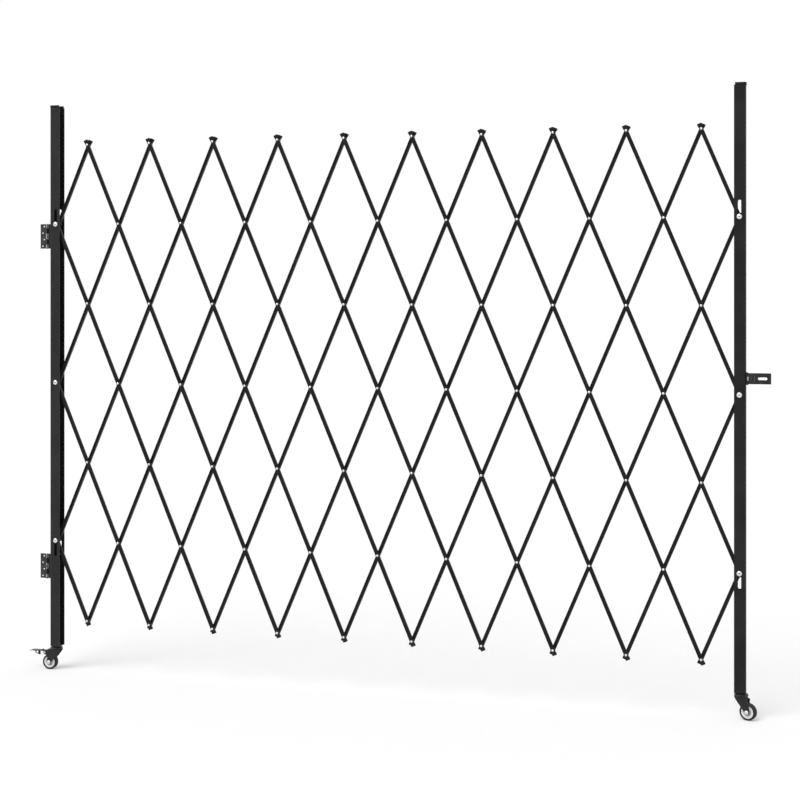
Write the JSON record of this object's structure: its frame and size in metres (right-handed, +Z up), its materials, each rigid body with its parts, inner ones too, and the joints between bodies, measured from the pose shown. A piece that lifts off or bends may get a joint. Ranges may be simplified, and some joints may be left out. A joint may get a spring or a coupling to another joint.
{
  "type": "folding scissor security gate",
  "caption": "Black steel folding gate: a riveted scissor lattice between two channel posts, hinged to a wall at one side, with swivel casters under both posts and a slotted hasp.",
  "frame": {"origin": "middle of the back face of the upper wall leaf, where it lies on the wall", "axes": "+Y points into the wall behind the mount, +Z is up, +X runs along the open gate from the wall hinges to the hasp"},
  "size_m": [2.4286, 0.0465, 1.89],
  "materials": {
    "black_paint": "satin black powder coat",
    "zinc": "bright zinc plate",
    "black_plastic": "fine matt moulding",
    "pale_plastic": "smooth off-white moulding",
    "black_rubber": "moulded black rubber tread"
  },
  "bodies": {
    "wall_leaves": {"upper_wall_leaf": "black_paint", "lower_wall_leaf": "black_paint", "upper_hinge_pin": "zinc", "lower_hinge_pin": "zinc"},
    "left_post": {"left_post": "black_paint", "left_post_cap": "black_plastic", "upper_post_leaf": "black_paint", "lower_post_leaf": "black_paint", "left_middle_pin": "zinc", "left_caster_stem": "zinc"},
    "right_post": {"right_post": "black_paint", "right_post_cap": "black_plastic", "right_middle_pin": "zinc", "right_caster_stem": "zinc", "hasp_fixed_leaf": "black_paint", "hasp_pin": "zinc"},
    "front_bar_01": {"front_bar_01": "black_paint", "left_lower_pin": "zinc"},
    "rear_bar_01": {"rear_bar_01": "black_paint"},
    "front_bar_02": {"front_bar_02": "black_paint"},
    "rear_bar_02": {"rear_bar_02": "black_paint"},
    "front_bar_03": {"front_bar_03": "black_paint", "left_upper_pin": "zinc"},
    "rear_bar_03": {"rear_bar_03": "black_paint"},
    "front_bar_04": {"front_bar_04": "black_paint"},
    "rear_bar_04": {"rear_bar_04": "black_paint"},
    "front_bar_05": {"front_bar_05": "black_paint"},
    "rear_bar_05": {"rear_bar_05": "black_paint"},
    "front_bar_06": {"front_bar_06": "black_paint"},
    "rear_bar_06": {"rear_bar_06": "black_paint"},
    "front_bar_07": {"front_bar_07": "black_paint"},
    "rear_bar_07": {"rear_bar_07": "black_paint"},
    "front_bar_08": {"front_bar_08": "black_paint"},
    "rear_bar_08": {"rear_bar_08": "black_paint"},
    "front_bar_09": {"front_bar_09": "black_paint"},
    "rear_bar_09": {"rear_bar_09": "black_paint"},
    "front_bar_10": {"front_bar_10": "black_paint"},
    "rear_bar_10": {"rear_bar_10": "black_paint"},
    "front_bar_11": {"front_bar_11": "black_paint", "right_lower_pin": "zinc"},
    "rear_bar_11": {"rear_bar_11": "black_paint"},
    "front_bar_12": {"front_bar_12": "black_paint"},
    "rear_bar_12": {"rear_bar_12": "black_paint"},
    "front_bar_13": {"front_bar_13": "black_paint", "right_upper_pin": "zinc"},
    "rear_bar_13": {"rear_bar_13": "black_paint"},
    "left_caster_fork": {"left_caster_fork": "black_paint", "left_axle": "zinc", "brake_pedal_pin": "zinc"},
    "left_wheel": {"left_wheel_core": "pale_plastic", "left_tyre": "black_rubber"},
    "right_caster_fork": {"right_caster_fork": "black_paint", "right_axle": "zinc"},
    "right_wheel": {"right_wheel_core": "pale_plastic", "right_tyre": "black_rubber"},
    "brake_pedal": {"brake_pedal": "black_paint"},
    "hasp_strap": {"hasp_strap": "black_paint"}
  },
  "joints": [
    {"name": "gate_swing", "type": "hinge", "parent": "wall_leaves", "child": "left_post", "pos_m": [0.0125, -0.00365, 0], "axis": [0, 0, -1], "range_deg": [0, 140]},
    {"name": "fold", "type": "hinge", "parent": "left_post", "child": "front_bar_02", "pos_m": [0.046, 0.00835, -0.489], "axis": [0, 1, 0], "range_deg": [0, 19.9]},
    {"name": "pivot_rear_bar_05", "type": "hinge", "parent": "front_bar_02", "child": "rear_bar_05", "pos_m": [0.38104, 0.00835, -1.28214], "axis": [0, 1, 0], "range_deg": [-39.9, 0]},
    {"name": "pivot_front_bar_08", "type": "hinge", "parent": "rear_bar_05", "child": "front_bar_08", "pos_m": [1.05111, 0.00835, 0.30414], "axis": [0, 1, 0], "range_deg": [0, 39.9]},
    {"name": "pivot_rear_bar_11", "type": "hinge", "parent": "front_bar_08", "child": "rear_bar_11", "pos_m": [1.72118, 0.00835, -1.28214], "axis": [0, 1, 0], "range_deg": [-39.9, 0]},
    {"name": "pivot_front_bar_12", "type": "hinge", "parent": "rear_bar_11", "child": "front_bar_12", "pos_m": [2.16789, 0.00835, -0.22462], "axis": [0, 1, 0], "range_deg": [0, 39.9]},
    {"name": "pivot_rear_bar_02", "type": "hinge", "parent": "front_bar_02", "child": "rear_bar_02", "pos_m": [0.046, 0.00835, -0.489], "axis": [0, 1, 0], "range_deg": [-39.9, 0]},
    {"name": "pivot_rear_bar_03", "type": "hinge", "parent": "front_bar_02", "child": "rear_bar_03", "pos_m": [0.15768, 0.00835, -0.75338], "axis": [0, 1, 0], "range_deg": [-39.9, 0]},
    {"name": "pivot_rear_bar_04", "type": "hinge", "parent": "front_bar_02", "child": "rear_bar_04", "pos_m": [0.26936, 0.00835, -1.01776], "axis": [0, 1, 0], "range_deg": [-39.9, 0]},
    {"name": "pivot_front_bar_03", "type": "hinge", "parent": "rear_bar_05", "child": "front_bar_03", "pos_m": [0.49271, 0.00835, -1.01776], "axis": [0, 1, 0], "range_deg": [0, 39.9]},
    {"name": "pivot_front_bar_04", "type": "hinge", "parent": "rear_bar_05", "child": "front_bar_04", "pos_m": [0.60439, 0.00835, -0.75338], "axis": [0, 1, 0], "range_deg": [0, 39.9]},
    {"name": "pivot_front_bar_05", "type": "hinge", "parent": "rear_bar_05", "child": "front_bar_05", "pos_m": [0.71607, 0.00835, -0.489], "axis": [0, 1, 0], "range_deg": [0, 39.9]},
    {"name": "pivot_front_bar_06", "type": "hinge", "parent": "rear_bar_05", "child": "front_bar_06", "pos_m": [0.82775, 0.00835, -0.22462], "axis": [0, 1, 0], "range_deg": [0, 39.9]},
    {"name": "pivot_front_bar_07", "type": "hinge", "parent": "rear_bar_05", "child": "front_bar_07", "pos_m": [0.93943, 0.00835, 0.03976], "axis": [0, 1, 0], "range_deg": [0, 39.9]},
    {"name": "pivot_front_bar_01", "type": "hinge", "parent": "rear_bar_03", "child": "front_bar_01", "pos_m": [0.046, 0.00835, -1.01776], "axis": [0, 1, 0], "range_deg": [0, 39.9]},
    {"name": "pivot_rear_bar_01", "type": "hinge", "parent": "front_bar_03", "child": "rear_bar_01", "pos_m": [0.046, 0.00835, 0.03976], "axis": [0, 1, 0], "range_deg": [-39.9, 0]},
    {"name": "pivot_rear_bar_06", "type": "hinge", "parent": "front_bar_08", "child": "rear_bar_06", "pos_m": [1.16279, 0.00835, 0.03976], "axis": [0, 1, 0], "range_deg": [-39.9, 0]},
    {"name": "pivot_rear_bar_07", "type": "hinge", "parent": "front_bar_08", "child": "rear_bar_07", "pos_m": [1.27446, 0.00835, -0.22462], "axis": [0, 1, 0], "range_deg": [-39.9, 0]},
    {"name": "pivot_rear_bar_08", "type": "hinge", "parent": "front_bar_08", "child": "rear_bar_08", "pos_m": [1.38614, 0.00835, -0.489], "axis": [0, 1, 0], "range_deg": [-39.9, 0]},
    {"name": "pivot_rear_bar_09", "type": "hinge", "parent": "front_bar_08", "child": "rear_bar_09", "pos_m": [1.49782, 0.00835, -0.75338], "axis": [0, 1, 0], "range_deg": [-39.9, 0]},
    {"name": "pivot_rear_bar_10", "type": "hinge", "parent": "front_bar_08", "child": "rear_bar_10", "pos_m": [1.6095, 0.00835, -1.01776], "axis": [0, 1, 0], "range_deg": [-39.9, 0]},
    {"name": "pivot_front_bar_09", "type": "hinge", "parent": "rear_bar_11", "child": "front_bar_09", "pos_m": [1.83286, 0.00835, -1.01776], "axis": [0, 1, 0], "range_deg": [0, 39.9]},
    {"name": "pivot_front_bar_10", "type": "hinge", "parent": "rear_bar_11", "child": "front_bar_10", "pos_m": [1.94454, 0.00835, -0.75338], "axis": [0, 1, 0], "range_deg": [0, 39.9]},
    {"name": "pivot_front_bar_11", "type": "hinge", "parent": "rear_bar_11", "child": "front_bar_11", "pos_m": [2.05621, 0.00835, -0.489], "axis": [0, 1, 0], "range_deg": [0, 39.9]},
    {"name": "pivot_front_bar_13", "type": "hinge", "parent": "rear_bar_11", "child": "front_bar_13", "pos_m": [2.27957, 0.00835, 0.03976], "axis": [0, 1, 0], "range_deg": [0, 39.9]},
    {"name": "pivot_rear_bar_12", "type": "hinge", "parent": "front_bar_12", "child": "rear_bar_12", "pos_m": [2.27957, 0.00835, -0.489], "axis": [0, 1, 0], "range_deg": [-39.9, 0]},
    {"name": "pivot_rear_bar_13", "type": "hinge", "parent": "front_bar_11", "child": "rear_bar_13", "pos_m": [2.27957, 0.00835, -1.01776], "axis": [0, 1, 0], "range_deg": [-39.9, 0]},
    {"name": "pivot_right_post", "type": "hinge", "parent": "front_bar_12", "child": "right_post", "pos_m": [2.27957, 0.00835, -0.489], "axis": [0, 1, 0], "range_deg": [-20, 0]},
    {"name": "left_caster_swivel", "type": "hinge", "parent": "left_post", "child": "left_caster_fork", "pos_m": [0.041, 0.00835, -1.372], "axis": [0, 0, 1], "continuous": true},
    {"name": "left_wheel_spin", "type": "hinge", "parent": "left_caster_fork", "child": "left_wheel", "pos_m": [0.019, 0.00835, -1.427], "axis": [0, 1, 0], "continuous": true},
    {"name": "brake_pedal_press", "type": "hinge", "parent": "left_caster_fork", "child": "brake_pedal", "pos_m": [0.00448, 0.00835, -1.3951], "axis": [0, -1, 0], "range_deg": [0, 14]},
    {"name": "right_caster_swivel", "type": "hinge", "parent": "right_post", "child": "right_caster_fork", "pos_m": [2.28457, 0.00835, -1.372], "axis": [0, 0, 1], "continuous": true},
    {"name": "right_wheel_spin", "type": "hinge", "parent": "right_caster_fork", "child": "right_wheel", "pos_m": [2.30497, 0.00011, -1.427], "axis": [0.3746, 0.9272, 0], "continuous": true},
    {"name": "hasp_strap_swing", "type": "hinge", "parent": "right_post", "child": "hasp_strap", "pos_m": [2.30302, -0.01295, -0.4396], "axis": [0, 0, -1], "range_deg": [0, 165]}
  ],
  "couplings": [
    {"joint": "pivot_rear_bar_05", "follows": "fold", "ratio": -2},
    {"joint": "pivot_front_bar_08", "follows": "fold", "ratio": 2},
    {"joint": "pivot_rear_bar_11", "follows": "fold", "ratio": -2},
    {"joint": "pivot_front_bar_12", "follows": "fold", "ratio": 2},
    {"joint": "pivot_rear_bar_02", "follows": "fold", "ratio": -2},
    {"joint": "pivot_rear_bar_03", "follows": "fold", "ratio": -2},
    {"joint": "pivot_rear_bar_04", "follows": "fold", "ratio": -2},
    {"joint": "pivot_front_bar_03", "follows": "fold", "ratio": 2},
    {"joint": "pivot_front_bar_04", "follows": "fold", "ratio": 2},
    {"joint": "pivot_front_bar_05", "follows": "fold", "ratio": 2},
    {"joint": "pivot_front_bar_06", "follows": "fold", "ratio": 2},
    {"joint": "pivot_front_bar_07", "follows": "fold", "ratio": 2},
    {"joint": "pivot_front_bar_01", "follows": "fold", "ratio": 2},
    {"joint": "pivot_rear_bar_01", "follows": "fold", "ratio": -2},
    {"joint": "pivot_rear_bar_06", "follows": "fold", "ratio": -2},
    {"joint": "pivot_rear_bar_07", "follows": "fold", "ratio": -2},
    {"joint": "pivot_rear_bar_08", "follows": "fold", "ratio": -2},
    {"joint": "pivot_rear_bar_09", "follows": "fold", "ratio": -2},
    {"joint": "pivot_rear_bar_10", "follows": "fold", "ratio": -2},
    {"joint": "pivot_front_bar_09", "follows": "fold", "ratio": 2},
    {"joint": "pivot_front_bar_10", "follows": "fold", "ratio": 2},
    {"joint": "pivot_front_bar_11", "follows": "fold", "ratio": 2},
    {"joint": "pivot_front_bar_13", "follows": "fold", "ratio": 2},
    {"joint": "pivot_rear_bar_12", "follows": "fold", "ratio": -2},
    {"joint": "pivot_rear_bar_13", "follows": "fold", "ratio": -2},
    {"joint": "pivot_right_post", "follows": "fold", "ratio": -1}
  ]
}
